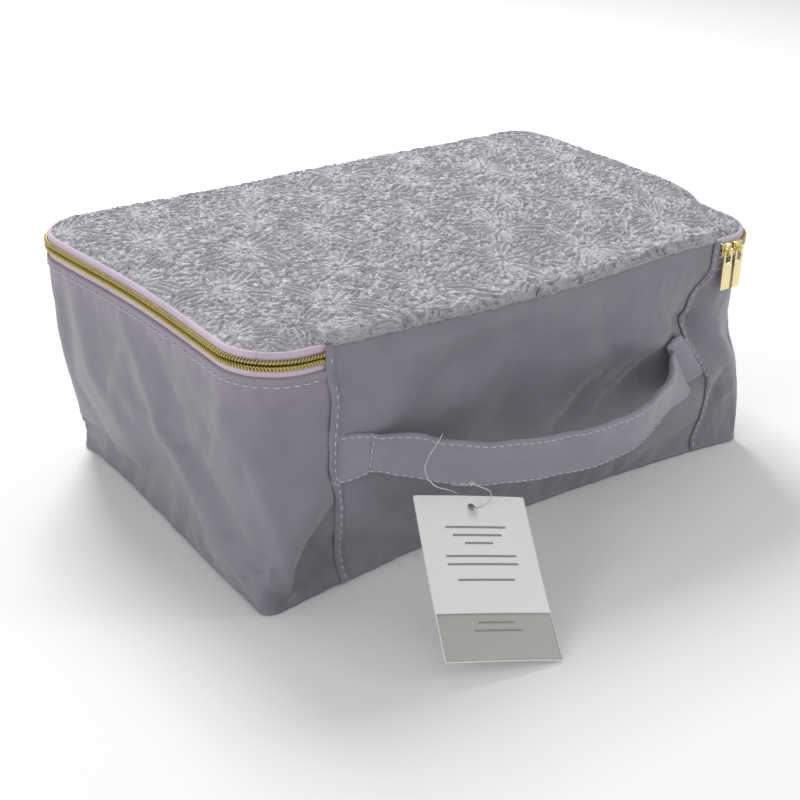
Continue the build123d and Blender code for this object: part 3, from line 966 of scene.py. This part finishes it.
def embossing(x, y):
    """Relief of the embossed cloth, about 0 to 1: flowers in pressed lines on a crinkled ground."""
    wx = x + 1.6 * noise(x, y, 12, 51) + 0.35 * noise(x, y, 4.0, 55)
    wy = y + 1.6 * noise(x, y, 12, 52) + 0.35 * noise(x, y, 4.0, 56)
    scroll = ridge(noise(wx, wy * 1.15, 7.0, 53), 0.14)
    curl = ridge(noise(wx, wy, 4.6, 54), 0.17)
    fine = ridge(noise(wx * 0.8, wy * 1.25, 3.0, 57), 0.22)
    ground = 0.16 + 0.42 * scroll + 0.32 * curl + 0.24 * fine + 0.08 * noise(wx, wy, 9, 58)
    nearest = np.full(x.shape, 1e9)
    cover, flowers = np.zeros(x.shape), np.zeros(x.shape)
    for cx, cy, turn, count, size in flower_centres():
        rho = np.hypot(wx - cx, wy - cy)
        phi = (np.arctan2(wy - cy, wx - cx) + turn) % (2 * PI)
        shape, within = petal_relief(rho, phi, count, size)
        here = rho < nearest
        cover = np.where(here, within, cover)
        flowers = np.where(here, shape, flowers)
        nearest = np.where(here, rho, nearest)
    hatch = 0.05 * np.sin(nearest * 2 * PI / 1.9) * cover
    return np.clip(ground * (1 - cover) + (flowers + 0.08 * fine + hatch) * cover, -0.2, 1.2)


def lid_rows():
    """Row positions from front to back, closer together where the corners turn, and their half-widths."""
    turn = np.linspace(0, PI / 2, max(8, round(LID_RADIUS * PI / 2 / GRID)) + 1)[1:]
    back_rows = LID_CORNER_Y + LID_RADIUS * np.sin(turn)
    rows = np.concatenate([-back_rows[::-1], steps(-LID_CORNER_Y, LID_CORNER_Y, GRID), back_rows])
    over = np.maximum(np.abs(rows) - LID_CORNER_Y, 0)
    return rows, LID_CORNER_X + np.sqrt(np.maximum(LID_RADIUS**2 - over**2, 0))


def edge_distance(x, y):
    qx, qy = np.abs(x) - LID_CORNER_X, np.abs(y) - LID_CORNER_Y
    outside = np.hypot(np.maximum(qx, 0), np.maximum(qy, 0))
    return LID_RADIUS - outside - np.minimum(np.maximum(qx, qy), 0)


def lid_surface(x, y, depth=0.0):
    """The lid cloth's upper face over plan points x, y, embossed to a depth, and the embossing itself."""
    d = np.maximum(edge_distance(x, y), 0)
    front_gap = y + HALF_D - LID_EDGE
    between_seams = smooth((SEAM_X + 4 - np.abs(x)) / 8)
    at_front = bump(front_gap, 9) * between_seams
    height = LID_EDGE_Z + 4.6 * (1 - np.exp(-d / 5.0)) + 2.6 * smooth(d / 60)
    height = height + at_front * (0.7 + 3.0 * (1 - np.exp(-front_gap / 2.0)))
    height = height + (noise(x, y, 48, 61) + 0.7 * noise(x, y, 24, 62)) * smooth(d / 14)
    raised = embossing(x, y)
    height = height + depth * (raised - 0.5) * smooth((d + 0.3) / (2.5 - 1.7 * between_seams))
    # the cloth rolls forward over the hinge seam in small pleats
    wander = x + 3.0 * noise(x, y, 16, 66)
    pleats = 1 - np.abs(noise(wander, y * 0.18, 7.5, 63)) / 0.4 + 0.5 * noise(wander, y * 0.5, 3.6, 64)
    rolled = between_seams * smooth((front_gap + 0.2) / 1.6) * bump(front_gap - 3.0, 6.5)
    push = 2.5 * (np.clip(pleats, -0.6, 1.2) - 0.35) * rolled
    height = height + 0.75 * push + 0.5 * noise(x, 0, 11, 67) * at_front
    roll = between_seams * (1 - np.exp(-front_gap / 2.2)) * bump(front_gap, 11)
    shift = -8.2 * roll * (1 + 0.15 * noise(x, 0, 14, 65)) - 0.8 * push
    return settle(np.stack([x, y + shift, height], -1)), raised


def local_mean(values, reach):
    """Each grid value replaced by the mean of the square of values around it."""
    padded = np.pad(values, reach, mode="edge")
    rows, columns = values.shape
    window = range(2 * reach + 1)
    return sum(padded[i : i + rows, j : j + columns] for i in window for j in window) / len(window) ** 2


def lid_mesh():
    """The embossed cloth with its plain underside, and the embossing of its upper face."""
    rows, half = lid_rows()
    y, a = np.meshgrid(rows, np.linspace(-1, 1, round(2 * HALF_W / GRID) + 1), indexing="ij")
    x = a * half[:, None]
    top, raised = lid_surface(x, y, EMBOSS_DEPTH)
    # the front edge is drawn out to the hinge line between the seams
    top[..., 1] -= 2.1 * bump(y + HALF_D - LID_EDGE, 1.6) * smooth((SEAM_X + 2 - np.abs(x)) / 6)
    index = np.arange(x.size).reshape(x.shape)
    rim = np.concatenate([index[0], index[1:, -1], index[-1, -2::-1], index[-2:0:-1, 0]])
    edge = top.reshape(-1, 3)[rim]
    below = []
    for k in range(UNDER_RINGS):
        inward = (k / UNDER_RINGS) ** 1.5
        ring = edge * [1 - inward, 1 - inward, 1]
        under, _ = lid_surface(ring[:, 0], ring[:, 1])
        ring[:, 2] = under[:, 2] - LID_SKIN if k else edge[:, 2] - 0.9
        below.append(ring)
    middle = lid_surface(np.zeros(1), np.zeros(1))[0] - [0, 0, LID_SKIN]
    vertices = np.concatenate([top.reshape(-1, 3), *below, middle])
    faces = grid_faces(*x.shape, flip=True) + loop_faces(rim, x.size + np.arange(len(rim)))
    return (vertices, faces + disc_faces(UNDER_RINGS, len(rim), x.size)), raised


turn_ends = [(0.0, (HINGE_Y + past) * MM, HINGE_Z * MM) for past in (-0.6, 7.0)]
LID_TURN = ("bag", "lid", *turn_ends)
lid_parts, raised = lid_mesh()
lid_cloth = add("lid_cloth", lid_parts, LID, LID_TURN, "lid_fabric", "lid_panel")
# relief: the emboss height; the lid material reads it for its bump and for its painted shade and highlight
lid_relief = np.full(len(lid_parts[0]), 0.4, np.float32)
lid_relief[: raised.size] = np.clip(0.4 + 1.1 * (raised - local_mean(raised, 4)), 0, 1).ravel()
lid_cloth.data.attributes.new("relief", "FLOAT", "POINT").data.foreach_set("value", lid_relief)

LINING_POINTS = 300
LINING_RINGS = 26
LINING_INSET = LID_EDGE + 1.2
LINING_SINK = 2.6
ABOVE_ALL = 200.0  # a height at which the plan has its full corners


def lining():
    """A smooth closed sheet under the lid cloth."""
    ex, ey, nx, ny = plan(np.linspace(0, ROUND, LINING_POINTS, endpoint=False), ABOVE_ALL)
    edge = np.stack([ex - nx * LINING_INSET, ey - ny * LINING_INSET], 1)
    layers = []
    for sink in (LINING_SINK, LINING_SINK + 0.5):
        for k in range(LINING_RINGS):
            x, y = (edge * (1 - (k / LINING_RINGS) ** 1.3)).T
            layers.append(lid_surface(x, y)[0] - [0, 0, sink])
        layers.append(lid_surface(np.zeros(1), np.zeros(1))[0] - [0, 0, sink])
    return np.concatenate(layers), double_disc_faces(LINING_RINGS, LINING_POINTS, flip=False)


EDGE_BINDING = ribbon(0, ROUND, [(-3.6, 111.2), (-4.8, 110.6), (-6.4, 111.4), (-7.2, 112.4)], 0.8, 2.0, False)
add("lid_lining_cloth", lining(), LINING, LID_TURN, "lining", "lid_lining")
add("lid_edge_binding", EDGE_BINDING, BINDING, LID_TURN, "binding_tape", "lid_binding")

# ---- strap handle ----
FREE_STATIONS = 230  # along the free part
FOLD_STATIONS = 12
SEWN_STATIONS = 20  # on the sewn right end, before its tack row
# centre line as (x, out of the wall, above the swing axis)
STRAP_FREE = [
    (-SEAM_X - 0.6, -0.9, 2.5),
    (-95.0, -0.3, 2.0),
    (-89.0, 0.0, 1.5),
    (TACK_LEFT + 2.0, 0.4, 1.0),
    (-70.0, 7.5, -1.5),
    (-58.8, 15.5, -3.8),
    (-45.7, 22.0, -6.0),
    (-30.0, 26.0, -7.6),
    (-6.6, 30.2, -8.8),
    (8.0, 32.0, -9.0),
    (33.0, 29.5, -9.0),
    (50.0, 23.0, -8.2),
    (62.0, 17.2, -7.6),
    (74.0, 10.6, -7.2),
    (84.5, 5.0, -6.6),
]
STRAP_FOLD = [STRAP_FREE[-1], (86.4, 3.9, -6.2), (86.6, 2.6, -5.8), (85.2, 1.5, -5.2)]
STRAP_SEWN = [
    STRAP_FOLD[-1],
    (85.6, 0.4, -4.6),
    (87.6, 0.1, -3.9),
    (91.0, 0.0, -2.6),
    (95.0, -0.2, -1.2),
    (98.5, -1.0, -0.4),
]
STRAP_Y = HANDLE_Y + 0.9  # the sewn ends lie against the wall


def strap_path():
    """The strap's centre line: sewn end, arch out from the wall, fold back under itself, sewn end."""
    stretches = ((STRAP_FREE, FREE_STATIONS), (STRAP_FOLD, FOLD_STATIONS), (STRAP_SEWN, 26))
    x, out, up = np.concatenate([spline(points, count)[1:] for points, count in stretches]).T
    path = np.stack([x, STRAP_Y - out, HANDLE_Z + up], 1)
    start = (STRAP_FREE[0][0], STRAP_Y - STRAP_FREE[0][1], HANDLE_Z + STRAP_FREE[0][2])
    return np.concatenate([[start], path])


def strap_section(thickness):
    """Closed cross-section (across, out): thin middle, thicker folded edges."""
    across = np.linspace(-1, 1, 25)
    edge = bump(np.abs(across) - 0.86, 0.11)
    skin = thickness * (0.5 + 0.22 * edge) * np.sqrt(np.clip(1 - np.abs(across) ** 14, 0, 1))
    upper = np.stack([across * STRAP_WIDTH / 2, skin], 1)
    return np.concatenate([upper, (upper * [1, -1])[::-1][1:-1]])


def strap_points(path, section):
    """Points of a cross-section (across, out) carried along the strap, with its lean, creases and skew."""
    x = path[:, 0]
    side, top = path_frames(path, (0.0, 0.0, 1.0))
    travelled = distances(path)
    from_fold = travelled - travelled[FREE_STATIONS + 8]
    upright = bump(from_fold, 9)[:, None]  # the crease itself stays plumb
    top = unit(top * (1 - upright) + upright * [0.0, 0.0, 1.0])
    wobble = (0.5 * noise(x, 0, 14, 71) + 0.25 * noise(x, 0, 6, 72))[:, None] * (1 - upright)
    lean = -0.16 * (smooth((x - TACK_LEFT) / 30) * smooth((TACK_RIGHT - 4 - x) / 16))[:, None]
    up = top * np.cos(lean) - side * np.sin(lean)
    out = side * np.cos(lean) + top * np.sin(lean)
    centre = path + top * wobble
    pinch = 1 - 0.22 * bump(x - TACK_LEFT - 3, 9) + 0.10 * smooth((x - 66) / 16)
    cup = 0.54 * (section[:, 0] / (STRAP_WIDTH / 2)) ** 2
    ripple = 0.35 * noise(x[:, None], section[:, 0], 9, 73)
    tucked = 0.45 + 0.55 * smooth((SEAM_X - np.abs(x)) / 14)
    offset = (section[:, 1] + cup + ripple) * (tucked * (1 - 0.72 * bump(from_fold, 7)))[:, None]
    across = section[:, 0] * pinch[:, None]
    points = centre[:, None] + up[:, None] * across[..., None] + out[:, None] * offset[..., None]
    # the right end is sewn on askew, along the pulled seam
    askew = 0.62 * smooth((x - 60) / 24) + 0.2 * smooth((x - 88) / 8)
    points[..., 0] -= askew[:, None] * (points[..., 2] - centre[:, None, 2])
    return points


def edge_stitches(path):
    """Rows along both edges, on the front and the back of the strap, except in the fold."""
    rows = []
    for edge in (-1, 1):
        for face, proud in ((-1, 1.1), (1, 1.35)):
            line = np.array([[edge * (STRAP_WIDTH / 2 - 1.5), face * out] for out in (proud, proud + 1)])
            both = strap_points(path, line)
            for stretch in (both[: FREE_STATIONS - 9], both[-SEWN_STATIONS + 3 :]):
                rows.append(stitch_row(stretch[:, 0], stretch[:, 1] - stretch[:, 0], 2.4, 1.1, 0.3))
    return join(rows)


def tack_stitches(path):
    """A row across each end, where the strap is sewn to the wall."""
    reach = STRAP_WIDTH / 2 - 2.6
    across = np.linspace(-reach, reach, 20)
    surface, above = (strap_points(path, np.stack([across, np.full(20, out)], 1)) for out in (1.2, 2.2))
    rows = []
    for x, first in ((TACK_LEFT + 0.6, 0), (TACK_RIGHT + 9.0, len(path) - SEWN_STATIONS)):
        k = first + int(np.argmin(np.abs(path[first : first + FREE_STATIONS, 0] - x)))
        rows.append(stitch_row(surface[k], above[k] - surface[k], 2.2, 1.0, 0.3))
    return join(rows)


bend = [(0.0, (HANDLE_Y - out) * MM, HANDLE_Z * MM) for out in (1.5, 17.0)]
HANDLE_BEND = ("bag", "handle", *bend)
STRAP_NODES = ("handle_root_left", "handle_root_right", "handle_sleeve", "handle_core")
path = strap_path()
strap = tube(strap_points(path, strap_section(2.0)))
add("strap_cloth", strap, STRAP, HANDLE_BEND, "side_fabric", *STRAP_NODES)
add("strap_stitches", edge_stitches(path), THREAD, HANDLE_BEND, "thread")
add("strap_tack_stitches", tack_stitches(path), THREAD, "bag", "thread", "handle_tacks")

# ---- sliders and pulls: built about the zip's meeting line, X along the zip, -Y outwards ----
SLIDER_HALF = 2.85
CROWN = [(-1.6, -2.0), (-3.3, -1.9), (-4.15, -1.0), (-4.3, 0), (-4.15, 1.0), (-3.3, 1.9), (-1.6, 2.0)]
PULL_OUT = -2.75
PULL_RING = [(0, 0), (1.75, 0), (2.15, -0.5), (2.2, -3.5), (2.2, -6.6)]
WIRE = 0.58


def slider_parts():
    length = (-SLIDER_HALF, SLIDER_HALF)
    plate = rounded_box(length, (-1.75, -0.95), (-3.1, 3.1), 0.36)
    vertices = plate[0]
    vertices[:, 2] *= 1 - 0.16 * smooth((-vertices[:, 0]) / SLIDER_HALF)  # narrower towards its tail
    flanges = [rounded_box(length, (-1.1, 0.75), z, 0.25) for z in ((2.1, 3.05), (-3.05, -2.1))]
    post = rounded_box((-1.1, 1.1), (-1.1, 2.1), (-0.18, 0.18), 0.08)
    inner = rounded_box(length, (1.9, 2.65), (-3.0, 3.0), 0.3)
    arch = spline([(0, y, z) for y, z in CROWN], 21)
    return join([plate, *flanges, post, inner, rod(arch, 1.05, 10, (1.0, 0.0, 0.0), 0.38)])


def pull_parts():
    half_path = spline([(x, PULL_OUT, z) for x, z in PULL_RING], 16)
    other = half_path[::-1] * [-1, 1, 1]
    ring = rod(np.concatenate([other[:-1], half_path]), WIRE, 10, (0.0, 1.0, 0.0))
    tab = rounded_box((-2.95, 2.95), (PULL_OUT - 0.55, PULL_OUT + 0.55), (PULL_END, -6.2), 0.34)
    tab[0][:, 0] *= 1 + 0.03 * smooth((-tab[0][:, 2] - 6) / 19)
    shoulder = rounded_box((-2.75, 2.75), (PULL_OUT - 0.5, PULL_OUT + 0.5), (-7.0, -5.6), 0.3)
    return join([ring, tab, shoulder])


def placed(parts, matrix):
    vertices, faces = parts
    return vertices @ np.array(matrix.to_3x3()).T + np.array(matrix.translation), faces


def slider_places():
    """Slider A on the straight front return, slider B on the corner's arc."""
    centre = joint_place("slider_b_travel")
    axis = JOINTS["pull_b_swing"]["axis"]
    turn = Matrix.Rotation(math.atan2(-axis[1], -axis[0]), 4, "Z")
    on_arc = Matrix.Translation(centre) @ turn @ Matrix.Translation((0, -centre[1] - HALF_D, 0))
    return {"a": Matrix.Translation((SLIDER_X, -HALF_D, ZIP_Z)), "b": on_arc}


for letter, place in slider_places().items():
    slider, pull = f"slider_{letter}", f"pull_{letter}"
    add(f"{slider}_casting", placed(slider_parts(), place), METAL, slider, "gold_metal", f"{slider}_body")
    add(f"{pull}_plate", placed(pull_parts(), place), METAL, pull, "gold_metal", f"{pull}_tab")


# ---- hang tag ----
def card_frame():
    """Centre, directions (across, up, out) and half-sizes of the card, from its CAD solid."""
    points = np.array([vertex.co for vertex in frame["nodes"]["tag_card"].data.vertices]) / MM
    points = np.unique(np.round(points, 2), axis=0)
    middle = np.mean(cad("tag_card"), axis=0)
    corners = points[np.argsort(np.linalg.norm(points - middle, axis=1))[-8:]]
    centre = corners.mean(0)
    up, _, out = np.linalg.svd(corners - centre)[2]
    up, out = up * np.sign(up[2]), out * np.sign(out[2])
    axes = np.stack([np.cross(up, out), up, out])
    return centre, axes, np.abs((corners - centre) @ axes.T).max(0)


CARD_CENTRE, CARD_AXES, (CARD_W, CARD_H, _) = card_frame()
HOLE_UP = CARD_H - 5.0
HOLE_RADIUS = 1.6
CARD_POINTS = 240
CARD_RINGS = 24
CARD_HALF_THICKNESS = 0.2
CARD_CORNER = 0.35
BAND_SHARE = 0.28  # part of the card's height that is grey
BAR_HEIGHT = 0.9
BARS = ((14.0, 26), (17.6, 21), (21.2, 12), (27.0, 30), (30.6, 30), (37.5, 24), (56.0, 15), (59.4, 20))


def on_card(across, up, out):
    return CARD_CENTRE + np.stack(np.broadcast_arrays(across, up, out), -1) @ CARD_AXES


def on_bent_card(across, up, out):
    return on_card(across, up, out + 0.9 * (up / CARD_H) ** 2 - 0.5 * (across / CARD_W) ** 2)


def card_outline():
    """Rounded rectangle, from the top round to the right."""
    points = []
    for cx, cy, start in ((1, 1, 90), (1, -1, 0), (-1, -1, -90), (-1, 1, -180)):
        for k in range(5):
            angle = math.radians(start - 90 * k / 4)
            x = cx * (CARD_W - CARD_CORNER) + CARD_CORNER * math.cos(angle)
            points.append((x, cy * (CARD_H - CARD_CORNER) + CARD_CORNER * math.sin(angle)))
    points = np.array([*points, points[0]])
    length = distances(points)
    return read_along(np.linspace(0, length[-1], CARD_POINTS, endpoint=False), length, points)


def card():
    """Two slightly bent faces from the hole to the edge, joined at both."""
    edge = card_outline()
    hole_centre = np.array([0.0, HOLE_UP])
    hole = hole_centre + unit(edge - hole_centre) * HOLE_RADIUS
    layers = []
    for out in (CARD_HALF_THICKNESS, -CARD_HALF_THICKNESS):
        for k in range(CARD_RINGS + 1):
            t = (k / CARD_RINGS) ** 0.8
            layers.append(on_bent_card(*(hole * (1 - t) + edge * t).T, out))
    layer = (CARD_RINGS + 1) * CARD_POINTS
    inner = np.arange(CARD_POINTS)[::-1]
    outer = np.arange(CARD_POINTS) + CARD_RINGS * CARD_POINTS
    front_sheet = grid_faces(CARD_RINGS + 1, CARD_POINTS, closed_v=True)
    back_sheet = grid_faces(CARD_RINGS + 1, CARD_POINTS, closed_v=True, flip=True, offset=layer)
    rims = loop_faces(outer, outer + layer) + loop_faces(inner, inner + layer)
    return np.concatenate(layers), front_sheet + back_sheet + rims


def printed(low, high, half_width, out):
    """A printed area as a very thin raised patch."""
    u, v = np.meshgrid(steps(-half_width, half_width, 1.5), steps(low, high, 1.5), indexing="ij")
    return shell(on_bent_card(u, v, out), 0.04)


add("hang_tag_card", card(), CARD, "tag", "card", "tag_card")
grey = printed(0.3 - CARD_H, (2 * BAND_SHARE - 1) * CARD_H, CARD_W - 0.3, 0.26)
add("hang_tag_band", grey, CARD_BAND, "tag", "card")
for number, (down, bar_width) in enumerate(BARS):
    bar_top = CARD_H - down
    bar = printed(bar_top - BAR_HEIGHT, bar_top, bar_width / 2, 0.32)
    add(f"hang_tag_bar_{number}", bar, CARD_PRINT, "tag", "card")

# ---- the tag's clear thread ----
LOOP_RADIUS = 0.28
KNOT = (-56.5, 26.5, -9.6)
# round the strap, as (x, out from the swing axis, above it)
ROUND_STRAP = [
    KNOT,
    (-57.5, 21.0, -12.5),
    (-58.5, 14.0, -13.8),
    (-60.0, 11.6, -3.0),
    (-61.0, 11.8, 6.5),
    (-63.0, 14.5, 9.0),
    (-67.5, 17.0, 7.2),
    (-72.5, 18.5, 4.0),
    (-76.5, 21.5, 0.2),
    (-75.5, 26.5, -4.4),
]
# over the card's top edge, through the hole and back up, as (across, above the hole, out)
THROUGH_CARD = [
    (-6, 7.0, 0.5),
    (-3, 4.0, -2.5),
    (0, 0, -0.3),
    (3, -0.6, 1.6),
    (7.5, 1.5, 3.2),
    (8.0, 5.5, 4.0),
]


def thread_loop():
    """A loop through the card's hole and round the strap, closed by a moulded joint."""
    strap_side = [(x, HANDLE_Y - out, HANDLE_Z + up) for x, out, up in ROUND_STRAP]
    card_side = [on_card(across, HOLE_UP + up, out) for across, up, out in THROUGH_CARD]
    knot = np.array(strap_side[0])
    loop = spline([*strap_side, *card_side, knot + [0.4, 0.0, -0.4]], 170)
    vertices, faces = rounded_box((-1.1, 1.1), (-0.8, 0.8), (-0.8, 0.8), 0.5)
    return join([rod(loop, LOOP_RADIUS, 8, (0.3, 0.2, 0.9)), (vertices + knot, faces)])


stretch = [(0, 0, (HANDLE_Z - down) * MM) for down in (17.3, 12)]
add("tag_thread_loop", thread_loop(), CLEAR, ("tag", "handle", *stretch), "clear_plastic", "tag_loop")


# ---- stage, light and camera: metres ----
FLOOR_SIZE = 4.0
BAG_MIDDLE = (0, 0, 0.05)
AZIMUTH, ELEVATION, ROLL = (math.radians(angle) for angle in (-36.35, 26.14, 1.20))
CAMERA_TARGET = (-0.0102, -0.0053, 0.0289)
CAMERA_DISTANCE = 0.6623
LENS = 61.7


def make_stage():
    corners = [(x * FLOOR_SIZE, y * FLOOR_SIZE, 0) for x, y in ((-1, -1), (1, -1), (1, 1), (-1, 1))]
    mesh = bpy.data.meshes.new("floor")
    mesh.from_pydata(corners, [], [[0, 1, 2, 3]])
    mesh.materials.append(Look("floor", (0.93, 0.93, 0.93), 0.9, Specular_IOR_Level=0.1).material)
    floor = bpy.data.objects.new("floor", mesh)
    bpy.context.scene.collection.objects.link(floor)


def area_light(name, position, size, power):
    light = bpy.data.lights.new(name, "AREA")
    light.size = size
    light.energy = power
    lamp = bpy.data.objects.new(name, light)
    lamp.location = position
    direction = Vector(BAG_MIDDLE) - Vector(position)
    lamp.rotation_euler = direction.to_track_quat("-Z", "Y").to_euler()
    bpy.context.scene.collection.objects.link(lamp)


def make_world(strength):
    world = bpy.data.worlds.new("studio")
    world.use_nodes = True
    background = world.node_tree.nodes["Background"]
    background.inputs["Color"].default_value = (1, 1, 1, 1)
    background.inputs["Strength"].default_value = strength
    bpy.context.scene.world = world


def make_camera():
    level = Vector((math.sin(AZIMUTH), -math.cos(AZIMUTH), 0.0))
    behind = level * math.cos(ELEVATION) + Vector((0.0, 0.0, math.sin(ELEVATION)))
    across = Vector((math.cos(AZIMUTH), math.sin(AZIMUTH), 0.0))
    upward = behind.cross(across)
    turned = across * math.cos(ROLL) + upward * math.sin(ROLL)
    upright = upward * math.cos(ROLL) - across * math.sin(ROLL)
    data = bpy.data.cameras.new("camera")
    data.sensor_width = 36.0
    data.lens = LENS
    data.clip_start = 0.01
    camera = bpy.data.objects.new("camera", data)
    rotation = Matrix((turned, upright, behind)).transposed().to_4x4()
    camera.matrix_world = Matrix.Translation(Vector(CAMERA_TARGET) + behind * CAMERA_DISTANCE) @ rotation
    bpy.context.scene.collection.objects.link(camera)
    bpy.context.scene.camera = camera


make_stage()
make_world(0.52)
area_light("key", (0.20, 0.95, 1.25), 0.6, 17)
area_light("left", (-1.3, -0.35, 0.55), 0.5, 3.6)
area_light("right", (1.3, -1.0, 0.7), 0.4, 4.0)
bpy.context.scene.view_settings.view_transform = "Standard"
make_camera()
